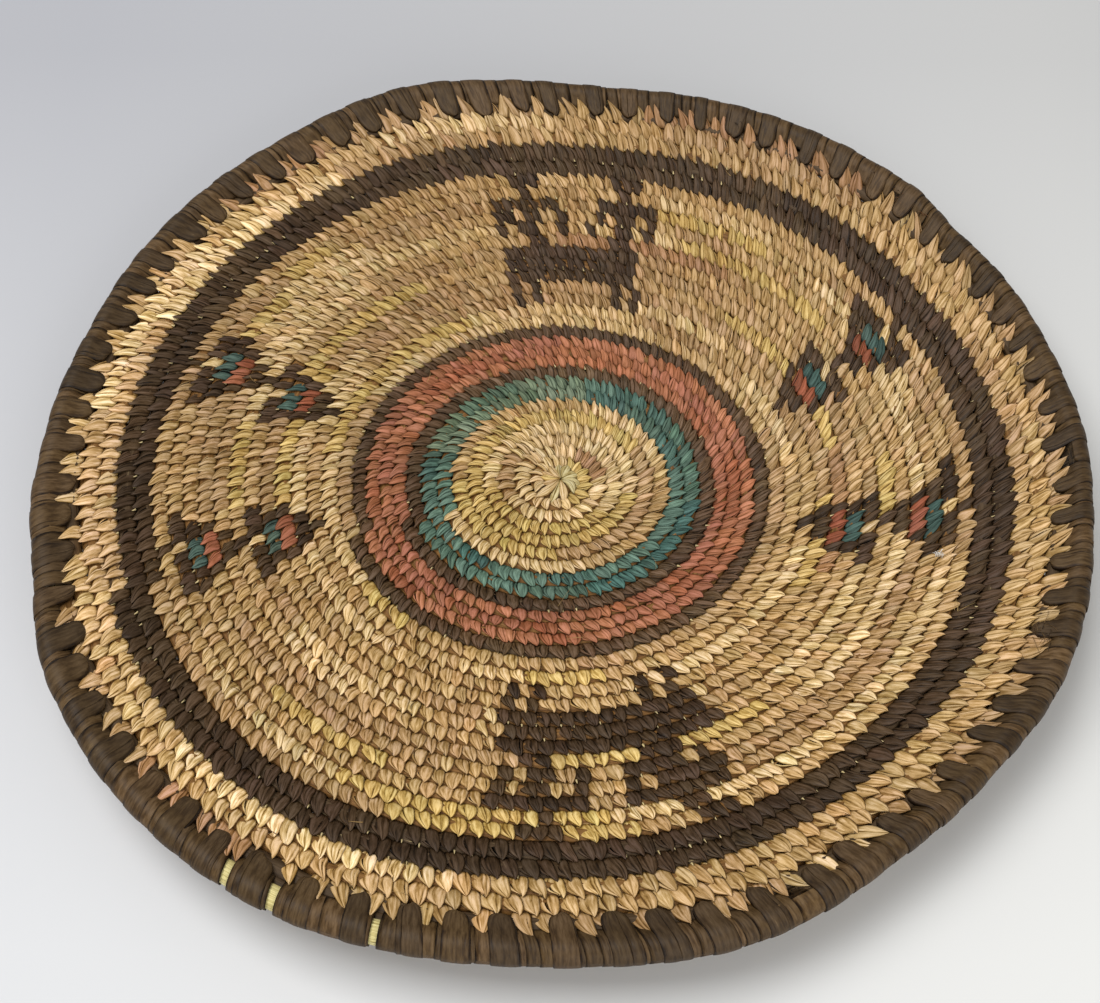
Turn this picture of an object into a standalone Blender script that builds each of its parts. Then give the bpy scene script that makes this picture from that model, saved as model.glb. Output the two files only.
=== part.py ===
"""Coiled grass tray: one long grass bundle wound clockwise outward from a knot and sewn row to row.

Each colour of sewing strip is a tube of its own along the one spiral, and the tubes meet end to end.
The thick last turn is wrapped in flat dark strips, and wide long stitches reach in from it over the border.
Units are metres, +Z is up, and the origin is the centre of the flat underside.
"""

import math

import bmesh
import bpy
import numpy as np
from mathutils import Vector

# The middle of the tray
KNOT_RADIUS = 0.0029
KNOT_TURNS = 1
KNOT_SEGMENTS = 16
KNOT_RINGS = 8

# Rows of each colour, counted outward, and the step from row to row along the surface
CENTRE_TURNS = 6
CENTRE_PITCH = 0.0053
TEAL_TURNS = 2
TEAL_PITCH = 0.0052
INNER_DARK_TURNS = 1
INNER_DARK_PITCH = 0.0051
RUST_TURNS = 3
RUST_PITCH = 0.0045
OUTER_DARK_TURNS = 1
OUTER_DARK_PITCH = 0.0050
FIELD_TURNS = 13
FIELD_PITCH = 0.00534
DOUBLE_RING_TURNS = 2
DOUBLE_RING_PITCH = 0.0065
BORDER_TURNS = 3
BORDER_PITCH = 0.0062
RIM_TURNS = 1
RIM_PITCH = 0.0072

# Sections of the coil
COIL_START = 0.0009
ROW_GAP = 0.0007
END_GAP = 0.0003
COIL_HEIGHT = 0.0056
RIM_WIDTH = 0.0086
RIM_HEIGHT = 0.0084
FLAT_CUT = 0.0005
COIL_SIDES = 6

# The dish: a flat base, then one upward arc
BASE_RADIUS = 0.0445
BOWL_RADIUS = 0.397

# The winding: where rows begin and end, seen from above, and the facets of one turn
START_ANGLE = math.radians(200)
FACETS = 24
TIGHT_FACETS = 12
TIGHT_TURNS = 4
GAP_STEPS = 4

# How far the sewn rows stray from true circles, as shares of the radius
OVAL_SHARE = 0.038
RIM_WAVE_SHARES = ((3, 0.0085, 0), (4, 0.0050, 180), (6, 0.0070, -36))

# The rim wrapping and the places where it has broken open, in turns from the start of the rim
WRAP_WALL = 0.0009
WRAP_GAP = 0.0003
WRAP_SIDES = 8
WRAP_RUNS = 12
BREAK_WIDTH = 0.0032
BREAK_SHARES = (0.8507, 0.8785, 0.8924)

# The rim is widest at its start, where its end lies against it, and thins out a little at its end
SWELL_SHARE = 0.35
SWELL_END_SHARE = 0.055
TAPER_SHARE = 0.03
TAPER_END_SHARE = 0.8

# The wide long stitches that come over the rim
STITCHES_PER_FACET = 3
STITCH_PHASE_SHARE = 0.75
STITCH_WIDTH = 0.0070
STITCH_THICKNESS = 0.0010
STITCH_SUNK = 0.0004
STITCH_CLEARANCE = 0.0003
STITCH_TIP_WIDTH = 0.0022
STITCH_SHOULDER_SHARE = 0.8
STITCH_REACH_SHARE = 0.62

SHARP_ANGLE = math.radians(40)
FLAT_ANGLE = math.radians(1)
LEAST_SHARE = 1e-9

NATURAL = (0.58, 0.41, 0.22)
TEAL = (0.03, 0.13, 0.12)
DARK = (0.055, 0.038, 0.026)
RUST = (0.42, 0.11, 0.05)
STRAW = (0.66, 0.56, 0.27)
RIM_BROWN = (0.075, 0.048, 0.028)

ZONES = (
    ("centre_coil", CENTRE_TURNS, CENTRE_PITCH, NATURAL),
    ("teal_ring", TEAL_TURNS, TEAL_PITCH, TEAL),
    ("inner_dark_ring", INNER_DARK_TURNS, INNER_DARK_PITCH, DARK),
    ("rust_ring", RUST_TURNS, RUST_PITCH, RUST),
    ("outer_dark_ring", OUTER_DARK_TURNS, OUTER_DARK_PITCH, DARK),
    ("natural_field", FIELD_TURNS, FIELD_PITCH, NATURAL),
    ("dark_double_ring", DOUBLE_RING_TURNS, DOUBLE_RING_PITCH, DARK),
    ("natural_border", BORDER_TURNS, BORDER_PITCH, NATURAL),
    ("rim_foundation", RIM_TURNS, RIM_PITCH, STRAW),
)
RIM_START = KNOT_TURNS + sum(turns for _, turns, _, _ in ZONES[:-1])
RIM_END = RIM_START + RIM_TURNS


def clear_scene():
    for obj in list(bpy.data.objects):
        bpy.data.objects.remove(obj, do_unlink=True)


def along_surface(turn):
    """Distance from the middle, along the surface, of the coil's centre line after so many turns."""
    distance = COIL_START + CENTRE_PITCH * min(turn, KNOT_TURNS)
    begun = KNOT_TURNS
    for number, (_, turns, pitch, _) in enumerate(ZONES):
        last = number == len(ZONES) - 1
        share = turn - begun if last else min(turn - begun, turns)
        if share <= 0:
            break
        distance += pitch * share
        begun += turns
    return distance


def on_profile(distance):
    """(radius, height, slope) of the dish at a distance along its surface."""
    if distance <= BASE_RADIUS:
        return distance, 0.0, 0.0
    slope = (distance - BASE_RADIUS) / BOWL_RADIUS
    radius = BASE_RADIUS + BOWL_RADIUS * math.sin(slope)
    return radius, BOWL_RADIUS * (1 - math.cos(slope)), slope


OUTER_RADIUS = on_profile(along_surface(RIM_END))[0]


def stray(radius, angle):
    """The factor by which a sewn row strays from a true circle."""
    reach = (radius / OUTER_RADIUS) ** 2
    factor = 1 + OVAL_SHARE * (1 - reach) * math.cos(2 * angle)
    for waves, share, phase in RIM_WAVE_SHARES:
        factor += share * reach * math.cos(waves * angle - math.radians(phase))
    return factor


class Frame:
    """A place on the dish: the point, the way outward along the surface, and the way up off it."""

    def __init__(self, point, outward, normal):
        self.point = point
        self.outward = outward
        self.normal = normal

    def at(self, out, up):
        return self.point + self.outward * out + self.normal * up


def corner_frame(turn, offset=0.0):
    """The frame at a corner of the faceted spiral, moved outward along the surface by an offset."""
    angle = START_ANGLE - 2 * math.pi * turn
    radius, height, slope = on_profile(along_surface(turn) + offset)
    radius *= stray(radius, angle)
    radial = Vector((math.cos(angle), math.sin(angle), 0))
    middle = COIL_HEIGHT / 2 - FLAT_CUT
    point = radial * radius + Vector((0, 0, height + middle))
    outward = radial * math.cos(slope) + Vector((0, 0, math.sin(slope)))
    normal = Vector((0, 0, math.cos(slope))) - radial * math.sin(slope)
    return Frame(point, outward, normal)


def frame_at(turn, offset=0.0):
    """The frame anywhere on the faceted spiral: on the straight line between two corners."""
    low = math.floor(turn * FACETS) / FACETS
    share = (turn - low) * FACETS
    if share < LEAST_SHARE:
        return corner_frame(low, offset)
    first = corner_frame(low, offset)
    second = corner_frame(low + 1 / FACETS, offset)
    point = first.point.lerp(second.point, share)
    outward = first.outward.lerp(second.outward, share).normalized()
    normal = first.normal.lerp(second.normal, share).normalized()
    return Frame(point, outward, normal)


def row_width(turn):
    """Width of a row: its share of the rows around it, as crowded as they lie there, less the gap."""
    pitch = along_surface(turn + 0.5) - along_surface(turn - 0.5)
    inner = corner_frame(turn, -pitch / 2).point
    outer = corner_frame(turn, pitch / 2).point
    facets = TIGHT_FACETS if turn < TIGHT_TURNS else FACETS
    return (outer - inner).length * math.cos(math.pi / facets) - ROW_GAP


def turns_between(start, end):
    """Turn counts of the corners between two places on the spiral, with both ends."""
    counts = [start]
    for step in range(math.ceil(start * FACETS), math.floor(end * FACETS) + 1):
        turn = step / FACETS
        tight = turn < TIGHT_TURNS and step % (FACETS // TIGHT_FACETS)
        if start < turn < end and not tight:
            counts.append(turn)
    counts.append(end)
    return counts


def end_allowance(turn, gap):
    """Half of a gap between two tube ends, in turns."""
    return gap / 2 / (2 * math.pi * on_profile(along_surface(turn))[0])


def ring_of(frame, width, height, sides):
    """Corners of a flat-topped section round a frame, none below the floor."""
    corners = []
    for number in range(sides):
        angle = 2 * math.pi * number / sides
        out = width / 2 * math.cos(angle)
        up = height / 2 * math.sin(angle) / math.sin(2 * math.pi * (sides // 4) / sides)
        corner = frame.at(out, max(-height / 2, min(height / 2, up)))
        corner.z = max(corner.z, 0)
        corners.append(corner)
    return corners


def material_of(name, colour):
    material = bpy.data.materials.new(name + "_material")
    material.use_nodes = True
    shader = material.node_tree.nodes["Principled BSDF"]
    shader.inputs["Base Color"].default_value = (*colour, 1)
    shader.inputs["Roughness"].default_value = 0.7
    shader.inputs["Metallic"].default_value = 0
    return material


def object_from(name, mesh_builder, colour):
    bmesh.ops.recalc_face_normals(mesh_builder, faces=mesh_builder.faces)
    mesh = bpy.data.meshes.new(name)
    mesh_builder.to_mesh(mesh)
    mesh_builder.free()
    mesh.shade_smooth()
    mesh.set_sharp_from_angle(angle=SHARP_ANGLE)
    mesh.materials.append(material_of(name, colour))
    obj = bpy.data.objects.new(name, mesh)
    bpy.context.scene.collection.objects.link(obj)
    return obj


def add_rings(mesh_builder, rings):
    return [[mesh_builder.verts.new(corner) for corner in ring] for ring in rings]


def bridge(mesh_builder, first, second):
    count = len(first)
    for number in range(count):
        after = (number + 1) % count
        mesh_builder.faces.new((first[number], first[after], second[after], second[number]))


def add_tube(mesh_builder, rings):
    """A closed tube through rings of corners."""
    loops = add_rings(mesh_builder, rings)
    for first, second in zip(loops, loops[1:]):
        bridge(mesh_builder, first, second)
    mesh_builder.faces.new(loops[0])
    mesh_builder.faces.new(reversed(loops[-1]))


def add_sleeve(mesh_builder, outer_rings, inner_rings):
    """A tube with a bore that is open at both ends."""
    outer = add_rings(mesh_builder, outer_rings)
    inner = add_rings(mesh_builder, inner_rings)
    for first, second in zip(outer, outer[1:]):
        bridge(mesh_builder, first, second)
    for first, second in zip(inner, inner[1:]):
        bridge(mesh_builder, second, first)
    bridge(mesh_builder, inner[0], outer[0])
    bridge(mesh_builder, outer[-1], inner[-1])


def least_gap(counts):
    """Least clear distance between neighbouring turns of one tube, measured on points of its centre line."""
    points = []
    widths = []
    marks = []
    for first, second in zip(counts, counts[1:]):
        start = frame_at(first).point
        end = frame_at(second).point
        for step in range(GAP_STEPS):
            share = step / GAP_STEPS
            points.append(tuple(start.lerp(end, share)))
            marks.append(first + (second - first) * share)
            widths.append(row_width(first) * (1 - share) + row_width(second) * share)
    points = np.array(points)
    widths = np.array(widths)
    marks = np.array(marks)
    least = math.inf
    for point, width, mark in zip(points, widths, marks):
        others = marks > mark + 0.5
        if others.any():
            apart = np.linalg.norm(points[others] - point, axis=1)
            least = min(least, (apart - (widths[others] + width) / 2).min())
    return least


def make_knot():
    """The start knot: a low round button with a flat foot."""
    mesh_builder = bmesh.new()
    bmesh.ops.create_uvsphere(
        mesh_builder, u_segments=KNOT_SEGMENTS, v_segments=KNOT_RINGS, radius=1
    )
    middle = COIL_HEIGHT / 2 - FLAT_CUT
    for vert in mesh_builder.verts:
        vert.co.x *= KNOT_RADIUS
        vert.co.y *= KNOT_RADIUS
        vert.co.z = max(vert.co.z * COIL_HEIGHT / 2 + middle, 0)
    bmesh.ops.dissolve_limit(
        mesh_builder,
        angle_limit=FLAT_ANGLE,
        verts=mesh_builder.verts,
        edges=mesh_builder.edges,
    )
    return object_from("start_knot", mesh_builder, NATURAL)


def make_coil(name, start, end, colour):
    """One colour's rows as a single tube along the spiral."""
    first = start + end_allowance(start, END_GAP)
    last = end - end_allowance(end, END_GAP)
    counts = turns_between(first, last)
    if start == KNOT_TURNS:
        del counts[1]
    rings = [ring_of(frame_at(turn), row_width(turn), COIL_HEIGHT, COIL_SIDES) for turn in counts]
    mesh_builder = bmesh.new()
    add_tube(mesh_builder, rings)
    if end - start > 1:
        print(f"{name}: least gap between its turns {least_gap(counts) * 1000:.2f} mm")
    return object_from(name, mesh_builder, colour)


def rim_taper(turn):
    """The last stretch of the rim thins out where the bundle ends."""
    left = (RIM_END - turn) / TAPER_SHARE
    return TAPER_END_SHARE + (1 - TAPER_END_SHARE) * min(1, max(0, left))


def rim_width(turn):
    """The rim's full width, with the swelling at its start."""
    swelling = 1 - (turn - RIM_START) / SWELL_END_SHARE
    return RIM_WIDTH * (rim_taper(turn) + SWELL_SHARE * max(0, swelling))


def rim_frame(turn):
    """The middle of the rim, which is wider than a row and stands out past it."""
    return frame_at(turn, (rim_width(turn) - row_width(turn)) / 2)


def rim_ring(turn, shrink):
    width = rim_width(turn) - 2 * shrink
    height = RIM_HEIGHT * rim_taper(turn) - 2 * shrink
    return ring_of(rim_frame(turn), width, height, WRAP_SIDES)


def rim_turns(start, end):
    counts = turns_between(start, end)
    for bend in (RIM_START + SWELL_END_SHARE, RIM_END - TAPER_SHARE):
        if start < bend < end:
            counts.append(bend)
    return sorted(counts)


def make_rim_foundation():
    """The thick last turn of the grass bundle, inside its wrapping."""
    first = RIM_START + end_allowance(RIM_START, END_GAP)
    last = RIM_END - end_allowance(RIM_END, END_GAP)
    mesh_builder = bmesh.new()
    add_tube(mesh_builder, [rim_ring(turn, WRAP_WALL + WRAP_GAP) for turn in rim_turns(first, last)])
    return object_from("rim_foundation", mesh_builder, STRAW)


def wrapping_runs():
    """Where each run of wrapping begins and ends: one strip's length, or less where it has broken."""
    between = RIM_START + (STITCH_PHASE_SHARE - 0.5) / (FACETS * STITCHES_PER_FACET)
    cuts = [(between + RIM_TURNS * number / WRAP_RUNS, END_GAP) for number in range(1, WRAP_RUNS)]
    cuts += [(RIM_START, END_GAP), (RIM_END, END_GAP)]
    cuts += [(RIM_START + RIM_TURNS * share, BREAK_WIDTH) for share in BREAK_SHARES]
    cuts.sort()
    runs = []
    for (start, start_gap), (end, end_gap) in zip(cuts, cuts[1:]):
        runs.append((start + end_allowance(start, start_gap), end - end_allowance(end, end_gap)))
    return runs


def stitch_places(turn, rise):
    """A long stitch's face from the outer side of the rim inward, as (point, share of its width)."""
    rim = rim_frame(turn)
    border = frame_at(turn - 1)
    half_width = rim_width(turn) / 2 - STITCH_SUNK + rise
    half_height = RIM_HEIGHT * rim_taper(turn) / 2 - STITCH_SUNK + rise
    over_border = COIL_HEIGHT / 2 + STITCH_CLEARANCE + rise
    places = []
    for number in range(WRAP_SIDES // 4 + 1):
        angle = 2 * math.pi * number / WRAP_SIDES
        places.append((rim.at(half_width * math.cos(angle), half_height * math.sin(angle)), 1))
    places.append((border.at(0, over_border), STITCH_SHOULDER_SHARE))
    tip = border.at(-BORDER_PITCH * STITCH_REACH_SHARE, over_border)
    places.append((tip, STITCH_TIP_WIDTH / STITCH_WIDTH))
    return places


def add_long_stitch(mesh_builder, turn):
    low = math.floor(turn * FACETS) / FACETS
    run = (rim_frame(low + 1 / FACETS).point - rim_frame(low).point).normalized()
    rings = []
    for lower, upper in zip(stitch_places(turn, 0), stitch_places(turn, STITCH_THICKNESS)):
        half = run * STITCH_WIDTH * lower[1] / 2
        rings.append([lower[0] - half, lower[0] + half, upper[0] + half, upper[0] - half])
    add_tube(mesh_builder, rings)


def stitches_of(name, start, end):
    """The long stitches of one run of wrapping, as a helper to be joined to it."""
    count = FACETS * STITCHES_PER_FACET
    mesh_builder = bmesh.new()
    for number in range(RIM_TURNS * count):
        turn = RIM_START + (number + STITCH_PHASE_SHARE) / count
        if start < turn < end:
            add_long_stitch(mesh_builder, turn)
    helper = object_from(name + "_stitches", mesh_builder, RIM_BROWN)
    helper.hide_render = True
    helper.display_type = "WIRE"
    return helper


def make_rim_wrapping():
    """The dark strips wound round the rim, each with the long stitches that it makes over the border."""
    for number, (start, end) in enumerate(wrapping_runs(), 1):
        name = f"rim_wrapping_{number:02d}"
        counts = rim_turns(start, end)
        outer = [rim_ring(turn, 0) for turn in counts]
        inner = [rim_ring(turn, WRAP_WALL) for turn in counts]
        mesh_builder = bmesh.new()
        add_sleeve(mesh_builder, outer, inner)
        sleeve = object_from(name, mesh_builder, RIM_BROWN)
        join = sleeve.modifiers.new("long_stitches", "BOOLEAN")
        join.operation = "UNION"
        join.solver = "EXACT"
        join.object = stitches_of(name, start, end)


def build_tray():
    clear_scene()
    make_knot()
    turn = KNOT_TURNS
    for name, turns, _, colour in ZONES[:-1]:
        make_coil(name, turn, turn + turns, colour)
        turn += turns
    make_rim_foundation()
    make_rim_wrapping()
    print(f"outer radius {OUTER_RADIUS * 1000:.1f} mm, {RIM_END} turns")


build_tray()
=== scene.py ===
import math
from functools import partial

import bpy
import numpy as np
from mathutils import Matrix, Vector


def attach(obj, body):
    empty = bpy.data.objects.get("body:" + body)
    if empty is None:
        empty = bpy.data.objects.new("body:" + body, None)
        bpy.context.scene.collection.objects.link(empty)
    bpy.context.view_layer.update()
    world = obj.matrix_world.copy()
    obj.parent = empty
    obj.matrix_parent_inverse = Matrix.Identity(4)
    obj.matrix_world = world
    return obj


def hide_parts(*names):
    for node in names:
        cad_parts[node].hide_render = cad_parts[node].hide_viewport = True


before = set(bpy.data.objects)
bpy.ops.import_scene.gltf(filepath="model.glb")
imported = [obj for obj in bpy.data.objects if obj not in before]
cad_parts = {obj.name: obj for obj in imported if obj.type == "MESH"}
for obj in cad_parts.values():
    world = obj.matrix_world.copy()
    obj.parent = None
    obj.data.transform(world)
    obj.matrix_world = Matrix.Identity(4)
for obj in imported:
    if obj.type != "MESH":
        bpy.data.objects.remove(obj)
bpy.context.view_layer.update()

MM = 0.001

# The spiral of the CAD source: rows of each colour, counted outward, and the step between rows
KNOT_TURNS = 1
ZONES = (
    ("centre", 6, 5.3 * MM),
    ("teal", 2, 5.2 * MM),
    ("inner_dark", 1, 5.1 * MM),
    ("rust", 3, 4.5 * MM),
    ("outer_dark", 1, 5.0 * MM),
    ("field", 13, 5.34 * MM),
    ("double_ring", 2, 6.5 * MM),
    ("border", 3, 6.2 * MM),
    ("rim", 1, 7.2 * MM),
)
COIL_START = 0.9 * MM
CENTRE_PITCH = 5.3 * MM
COIL_HEIGHT = 5.6 * MM
FLAT_CUT = 0.5 * MM
BASE_RADIUS = 44.5 * MM
BOWL_RADIUS = 397 * MM
START_ANGLE = math.radians(200)
OVAL_SHARE = 0.038
RIM_WAVE_SHARES = ((3, 0.0085, 0), (4, 0.0050, 180), (6, 0.0070, -36))
RIM_START = 32
RIM_END = 33
RIM_WIDTH = 8.6 * MM
RIM_HEIGHT = 8.4 * MM
ROW_GAP = 0.7 * MM
SWELL_SHARE = 0.35
SWELL_END_SHARE = 0.055
TAPER_SHARE = 0.03
TAPER_END_SHARE = 0.8
LONG_STITCHES = 72
STITCH_PHASE_SHARE = 0.75
BREAK_SHARES = (0.8507, 0.8785, 0.8924)
BREAK_WIDTH = 3.2 * MM
CREST = COIL_HEIGHT / 2
MIDDLE = CREST - FLAT_CUT
# No point of a strip lies lower than this
SOLE = 0.06 * MM

ZONE_MARKS = KNOT_TURNS + np.cumsum([0] + [turns for _, turns, _ in ZONES])
ZONE_START = {zone[0]: int(mark) for zone, mark in zip(ZONES, ZONE_MARKS)}
TEAL_ROW, FIELD_ROW, DOUBLE_ROW, BORDER_ROW = (
    ZONE_START[zone] for zone in ("teal", "field", "double_ring", "border"))
LAST_ROW = RIM_START - 1
TURN_MARKS = np.concatenate([[0], ZONE_MARKS, [RIM_END + 1]]).astype(float)
STEPS = [CENTRE_PITCH] + [pitch for _, _, pitch in ZONES] + [ZONES[-1][2]]


def sums(steps):
    """Running sums from nought."""
    return np.concatenate([[0], np.cumsum(steps)])


SURFACE_MARKS = COIL_START + sums(np.diff(TURN_MARKS) * STEPS)


def srgb(text):
    """A linear colour from its hex digits."""
    values = [int(text[i:i + 2], 16) / 255 for i in (0, 2, 4)]
    return tuple(v / 12.92 if v <= 0.04045 else ((v + 0.055) / 1.055) ** 2.4 for v in values)


def palette(texts):
    return tuple(srgb(text) for text in texts.split())


def along_surface(turn):
    """Distance from the centre along the bowl at a turn of the spiral."""
    return np.interp(turn, TURN_MARKS, SURFACE_MARKS)


def pitch_at(turn):
    """Step from one row to the next."""
    return along_surface(turn + 0.5) - along_surface(turn - 0.5)


def on_profile(distance):
    """Radius, height and slope of the bowl at a distance along it: a flat middle, then an arc."""
    slope = np.maximum(distance - BASE_RADIUS, 0) / BOWL_RADIUS
    radius = np.minimum(distance, BASE_RADIUS) + BOWL_RADIUS * np.sin(slope)
    return radius, BOWL_RADIUS * (1 - np.cos(slope)), slope


OUTER_RADIUS = float(on_profile(along_surface(RIM_END))[0])

# Small unevenness of the outline that the sewn strips add: azimuth and width in degrees, height in mm
SWELLINGS = ((109, 9, 2.9), (84, 8, -1.8), (128, 7, -0.9), (165, 10, -2.0), (189, 6, 1.2), (206, 6, 1.0),
             (232, 12, -1.3), (286, 10, 0.9), (305, 9, -2.0), (319, 6, -0.8), (330, 9, 1.4), (352, 8, -1.5),
             (22, 7, 0.9), (34, 4, -1.2), (41, 5, 1.2))


def unevenness(angle):
    """How far the outline bulges at an angle."""
    total = 0 * angle
    for azimuth, width, height in SWELLINGS:
        away = (angle - math.radians(azimuth) + math.pi) % (2 * math.pi) - math.pi
        total = total + height * MM * np.exp(-(away / math.radians(width)) ** 2)
    return total


def stray(radius, angle):
    """By what factor the rings stray from circles: oval within, wavy toward the rim."""
    reach = (radius / OUTER_RADIUS) ** 2
    factor = 1 + OVAL_SHARE * (1 - reach) * np.cos(2 * angle)
    for waves, share, phase in RIM_WAVE_SHARES:
        factor = factor + share * reach * np.cos(waves * angle - math.radians(phase))
    return factor + unevenness(angle) * reach ** 3 / OUTER_RADIUS


def angle_of(turn):
    return START_ANGLE - 2 * math.pi * turn


def place(turn, out, up):
    """Points of the tray: a turn of the spiral, a distance outward along the surface and one up off it."""
    angle = angle_of(turn)
    radius, height, slope = on_profile(along_surface(turn) + out)
    radius = radius * stray(radius, angle) - np.sin(slope) * up
    height = height + MIDDLE + np.cos(slope) * up
    return np.stack([np.cos(angle) * radius, np.sin(angle) * radius, height], -1)


def ring_radius(turn):
    """Radius of the row's middle."""
    radius = on_profile(along_surface(turn))[0]
    return radius * stray(radius, angle_of(turn))


def round_row(turn):
    """Length of a full turn."""
    return 2 * math.pi * ring_radius(turn)


def lean_at(turn):
    """How far a stitch leans anticlockwise as it goes outward, in radians."""
    angle = angle_of(turn)
    calm = 0.45 + 0.55 * np.minimum(1, (turn - 1) / 9)
    border = np.clip((turn - DOUBLE_ROW) / (BORDER_ROW - DOUBLE_ROW), 0, 1)
    twofold = np.cos(2 * (angle - math.radians(15)))
    inside = (22 + 7.5 * twofold + 6 * np.sin(angle)) * calm
    outside = 18 + 4 * twofold + 5 * np.sin(angle)
    return np.radians(inside * (1 - border) + outside * border)


# Where the stitches go

# Distance between stitches, in mm, at some turns
SPACING_TURNS = (1, 3, 6, 8, 10, 14, 26, 29, 31)
SPACINGS = (2.8, 3.0, 3.3, 3.75, 4.1, 4.0, 4.2, 4.75, 5.0)
LEAST_GAP_SHARE = 0.2
SURPLUS_FOR_ONE_MORE = 0.6
SMOOTHINGS = 6


def spacing_at(turn):
    uneven = 1 + 0.1 * np.cos(angle_of(turn) - math.radians(275))
    return np.interp(turn, SPACING_TURNS, SPACINGS) * MM * uneven


def lay_stitches():
    """Places of the stitches, as turns of the spiral.

    Each starts in the gap between two tips of the row before, with one more wherever the row has grown."""
    places = [float(KNOT_TURNS)]
    while places[-1] < KNOT_TURNS + 1:
        turn = places[-1]
        places.append(turn + spacing_at(turn) / round_row(turn))
    parent = 0
    surplus = 0.0
    while places[-1] < RIM_START:
        batch = [places[-1]]
        last = len(places) - 1
        while parent < last:
            middle = (places[parent] + places[parent + 1]) / 2 + 1
            around = round_row(middle)
            middle -= math.tan(lean_at(middle)) * pitch_at(middle) / around
            parent += 1
            gap = middle - batch[-1]
            spacing = spacing_at(middle)
            if gap <= LEAST_GAP_SHARE * spacing / around:
                continue
            surplus += gap * around / spacing - 1
            if surplus > SURPLUS_FOR_ONE_MORE:
                batch.append(batch[-1] + gap / 2)
                surplus -= 1
            batch.append(middle)
        # Even out the steps
        batch = np.array(batch)
        for _ in range(SMOOTHINGS):
            batch[1:-1] = batch[1:-1] * 0.5 + (batch[:-2] + batch[2:]) * 0.25
        places.extend(batch[1:].tolist())
    places = np.array(places)
    return places[places < RIM_START - 0.002]


PLACES = lay_stitches()
COUNT = len(PLACES)
ROWS = np.floor(PLACES).astype(int)
AZIMUTHS = np.degrees(angle_of(PLACES)) % 360
AROUND = round_row(PLACES)
GAPS = np.gradient(PLACES) * AROUND
rng = np.random.default_rng(11)


# Which strip each stitch is sewn with

NATURAL, TEAL, DARK, RUST = range(4)
STRIP_OF_ZONE = {"centre": NATURAL, "teal": TEAL, "inner_dark": DARK, "rust": RUST, "outer_dark": DARK,
                 "field": NATURAL, "double_ring": DARK, "border": NATURAL}

# Two-headed animals: field rows, counted inward, and the azimuths in degrees that each piece spans
TOP_ANIMAL = (
    ((1,), (92.9, 98.4), (75.5, 81.0)),
    ((2,), (94.7, 96.6), (76.9, 78.8)),
    ((3,), (89.3, 102.1), (72.7, 83.3)),
    ((4, 5), (99.3, 102.3), (92.9, 97.2), (88.3, 91.0), (81.6, 83.5), (75.9, 79.2), (71.8, 73.8)),
    ((6,), (92.2, 96.9), (74.4, 78.5)),
    ((7, 8, 9), (72.0, 102.4)),
    ((10, 11), (99.2, 102.5), (92.7, 95.9), (74.0, 77.0), (68.9, 71.7)),
)
BOTTOM_ANIMAL = (
    ((1,), (265.5, 271.4), (288.4, 293.2)),
    ((2,), (267.4, 269.5), (288.4, 291.3)),
    ((3,), (261.8, 274.2), (281.0, 296.0)),
    ((4, 5), (260.6, 262.4), (265.3, 269.4), (272.5, 274.6), (280.3, 282.6), (284.1, 290.6), (292.7, 295.7)),
    ((6,), (264.7, 269.4), (284.2, 290.5)),
    ((7, 8, 9), (261.2, 296.5)),
    ((10, 11), (259.3, 261.9), (265.4, 268.3), (286.9, 290.2), (293.0, 296.8)),
)
# Butterflies: for each field row, counted inward, how many strips lie before the middle, and the strips going
# clockwise: natural, teal, dark or rust
STRIP_LETTERS = "ntdr"
BUTTERFLY = ((0, "d"), (4, "ddddnddd"), (3, "ddtttdd"), (2, "drrrd"), (1, "ddd"), (0, "d"),
             (3, "dddnddd"), (2, "dtttd"), (2, "drrrd"), (1, "ddd"), (0, "d"))
# Azimuth of the middle of each butterfly's outer wings, its change per row, and the same for the inner wings
BUTTERFLY_AXES = ((-6.7, -0.75, -10.5, -0.18), (195.9, -0.05, 195.9, -0.15), (161.3, -0.34, 160.2, 0.1),
                  (27.4, -0.5, 25.3, -0.7))
INNER_WINGS = 6


def strips_of_stitches():
    """The strip of each stitch, and which stitches are the cream ones of the butterflies."""
    strips = np.zeros(COUNT, int)
    for name, strip in STRIP_OF_ZONE.items():
        strips[ROWS >= ZONE_START[name]] = strip
    creams = np.zeros(COUNT, bool)
    for animal in (TOP_ANIMAL, BOTTOM_ANIMAL):
        for rows, *spans in animal:
            for inward in rows:
                in_row = np.nonzero(ROWS == DOUBLE_ROW - inward)[0]
                step = 360 / len(in_row)
                for low, high in spans:
                    away = np.abs(AZIMUTHS[in_row] - (low + high) / 2)
                    strips[in_row[np.argsort(away)[:max(1, round((high - low) / step))]]] = DARK
    for outer, outer_step, inner, inner_step in BUTTERFLY_AXES:
        for inward, (before, letters) in enumerate(BUTTERFLY, 1):
            if inward < INNER_WINGS:
                middle = outer + outer_step * (inward - 1)
            else:
                middle = inner + inner_step * (inward - INNER_WINGS)
            in_row = np.nonzero(ROWS == DOUBLE_ROW - inward)[0]
            away = (AZIMUTHS[in_row] - middle + 180) % 360 - 180
            first = in_row[np.argmin(np.abs(away))] - before
            for number, letter in enumerate(letters, first):
                strips[number] = STRIP_LETTERS.index(letter)
                creams[number] = letter == "n"
    return strips, creams


STRIPS, CREAMS = strips_of_stitches()


# The colour of each stitch

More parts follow.
